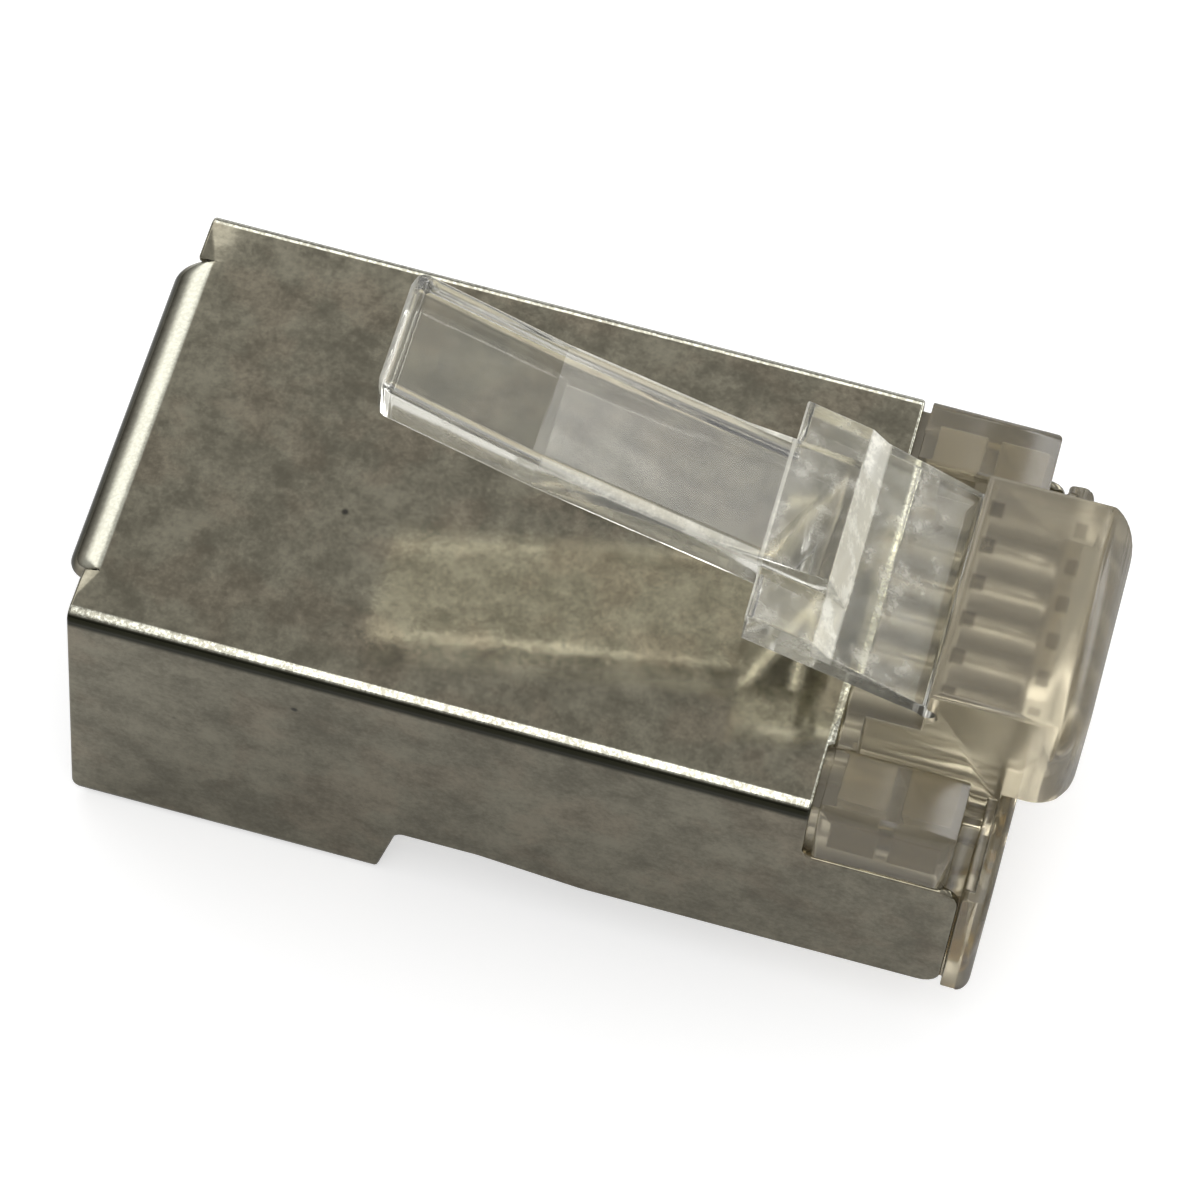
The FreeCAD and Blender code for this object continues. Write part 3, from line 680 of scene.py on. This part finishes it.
class PLUG_OT_housing(bpy.types.Operator):
    """Round the edges of the clear housing"""
    bl_idname = "plug.housing"
    bl_label = "Housing"

    def execute(self, context):
        settings = context.scene.plug_moulding
        mesh = merged_copy("housing")
        soften(mesh, settings.edge / MM, 28)
        plastic = clear_moulding("clear_housing_plastic", settings.housing_tint, settings.housing_haze,
                                 settings.housing_milk, housing_frosting, HOUSING_FILM, slot_ends)
        make_piece("clear_housing", mesh, plastic, "plug_body", ["housing"])
        return {"FINISHED"}


class PLUG_OT_latch(bpy.types.Operator):
    """Round the edges of the clear latch"""
    bl_idname = "plug.latch"
    bl_label = "Latch"

    def execute(self, context):
        settings = context.scene.plug_moulding
        mesh = merged_copy("latch")
        soften(mesh, settings.edge / MM, 28)
        plastic = clear_moulding("clear_latch_plastic", settings.latch_tint, settings.latch_haze,
                                 settings.latch_milk, latch_frosting_and_highlights, LATCH_FILM_AND_HIGHLIGHT)
        make_piece("clear_latch", mesh, plastic, "latch", ["latch"])
        return {"FINISHED"}


class PLUG_OT_contacts(bpy.types.Operator):
    """Model the eight gold blades"""
    bl_idname = "plug.contacts"
    bl_label = "Contacts"

    def execute(self, context):
        settings = context.scene.plug_contacts
        plating = gold(settings)
        for node in CONTACTS:
            make_piece("gold_" + node, contact_mesh(settings, node), plating, "plug_body",
                       [node])
        return {"FINISHED"}


class PLUG_OT_stage(bpy.types.Operator):
    """Set the floor, the light and the camera"""
    bl_idname = "plug.stage"
    bl_label = "Stage"

    def execute(self, context):
        settings = context.scene.plug_stage
        make_camera(settings)
        make_floor(settings)
        make_world()
        make_lamp("overhead", OVERHEAD_PLACE, OVERHEAD_SIZE, settings.overhead)
        context.scene.view_settings.view_transform = "Standard"
        return {"FINISHED"}


def make_camera(settings):
    azimuth, elevation, roll = settings.azimuth, settings.elevation, settings.roll
    back = Vector((math.sin(azimuth) * math.cos(elevation), -math.cos(azimuth) * math.cos(elevation),
                   math.sin(elevation)))
    right = Vector((math.cos(azimuth), math.sin(azimuth), 0))
    up = back.cross(right)
    rolled_right = right * math.cos(roll) + up * math.sin(roll)
    rolled_up = up * math.cos(roll) - right * math.sin(roll)
    data = bpy.data.cameras.new("camera")
    data.sensor_width = 36.0
    data.lens = settings.lens
    data.clip_start = 1 * MM
    data.clip_end = 5.0
    camera = bpy.data.objects.new("camera", data)
    bpy.context.scene.collection.objects.link(camera)
    place = Vector(settings.target) + back * settings.distance
    turn = Matrix((rolled_right, rolled_up, back)).transposed()
    camera.matrix_world = Matrix.Translation(place) @ turn.to_4x4()
    bpy.context.scene.camera = camera


def make_lamp(name, place, size, energy):
    data = bpy.data.lights.new(name, "AREA")
    data.shape = "RECTANGLE"
    data.size, data.size_y = size
    data.energy = energy
    lamp = bpy.data.objects.new(name, data)
    bpy.context.scene.collection.objects.link(lamp)
    lamp.location = place
    lamp.rotation_mode = "QUATERNION"
    lamp.rotation_quaternion = (-Vector(place)).to_track_quat("-Z", "Y")


def make_floor(settings):
    mesh = bmesh.new()
    bmesh.ops.create_circle(mesh, cap_ends=True, segments=64, radius=0.6)
    data = bpy.data.meshes.new("floor")
    mesh.to_mesh(data)
    mesh.free()
    floor = bpy.data.objects.new("floor", data)
    bpy.context.scene.collection.objects.link(floor)
    finish = Finish(bpy.data.materials.new("white_floor"))
    path = finish.node("ShaderNodeLightPath").socket.node.outputs
    seen, glossy, through = [Wire(finish, path[name])
                             for name in ("Is Camera Ray", "Is Glossy Ray", "Is Transmission Ray")]
    floor.data.materials.append(finish.surface({
        "Base Color": finish.mix((1.0 - seen) * through, opaque(settings.floor), grey(0.32)),
        "Roughness": 0.9, "Specular IOR Level": 0.0, "Emission Color": grey(1.0),
        "Emission Strength": seen * 0.55 + glossy * 0.03}))


def make_world():
    """White to the camera; a soft grey room, brighter overhead, to everything else."""
    world = bpy.data.worlds.new("studio")
    bpy.context.scene.world = world
    finish = Finish(world)
    direction = finish.node("ShaderNodeTexCoord", output="Generated")
    axes = dict(zip("xyz", finish.axes(direction)))
    room = finish.node("ShaderNodeValToRGB", {"stops": [(0.0, grey(0.25)), (0.30, grey(0.48)),
                                                        (0.75, grey(0.50)), (1.0, grey(0.60))]},
                       {"Fac": axes["z"]})
    for brightness, rises, falls in PANELS:
        panel = 1.0
        for axis, low, high in rises:
            panel = panel * finish.between(axes[axis], low, high)
        for axis, low, high in falls:
            panel = panel * finish.before(axes[axis], low, high)
        room = finish.mix(panel, room, grey(brightness))
    path = finish.node("ShaderNodeLightPath").socket.node.outputs
    seen, through = [Wire(finish, path[name]) for name in ("Is Camera Ray", "Is Transmission Ray")]
    finish.feed(finish.tree.nodes["Background"],
                {"Color": finish.mix(seen, room, grey(1.0)),
                 "Strength": 1.0 + (1.0 - seen) * through * 1.1})


class PLUG_PT_sidebar(bpy.types.Panel):
    """Lists the plug's pieces and their settings"""
    bl_idname = "PLUG_PT_sidebar"
    bl_label = "Modular Plug"
    bl_space_type = "VIEW_3D"
    bl_region_type = "UI"
    bl_category = "Plug"

    def draw(self, context):
        for operator, settings in ((PLUG_OT_shield, context.scene.plug_shield),
                                   (PLUG_OT_housing, context.scene.plug_moulding),
                                   (PLUG_OT_latch, None), (PLUG_OT_contacts, context.scene.plug_contacts),
                                   (PLUG_OT_stage, context.scene.plug_stage)):
            box = self.layout.box()
            box.operator(operator.bl_idname)
            if settings:
                for name in settings.__annotations__:
                    box.prop(settings, name)


GROUPS = {"plug_shield": ShieldSettings, "plug_moulding": MouldingSettings,
          "plug_contacts": ContactSettings, "plug_stage": StageSettings}
OPERATORS = [PLUG_OT_shield, PLUG_OT_housing, PLUG_OT_latch, PLUG_OT_contacts, PLUG_OT_stage]


def register():
    for kind in list(GROUPS.values()) + OPERATORS + [PLUG_PT_sidebar]:
        bpy.utils.register_class(kind)
    for name, kind in GROUPS.items():
        setattr(bpy.types.Scene, name, bpy.props.PointerProperty(type=kind))


def unregister():
    for name in GROUPS:
        delattr(bpy.types.Scene, name)
    for kind in [PLUG_PT_sidebar] + OPERATORS[::-1] + list(GROUPS.values())[::-1]:
        bpy.utils.unregister_class(kind)


def main():
    register()
    bpy.ops.plug.shield()
    bpy.ops.plug.housing()
    bpy.ops.plug.latch()
    bpy.ops.plug.contacts()
    bpy.ops.plug.stage()


if __name__ == "__main__":
    main()
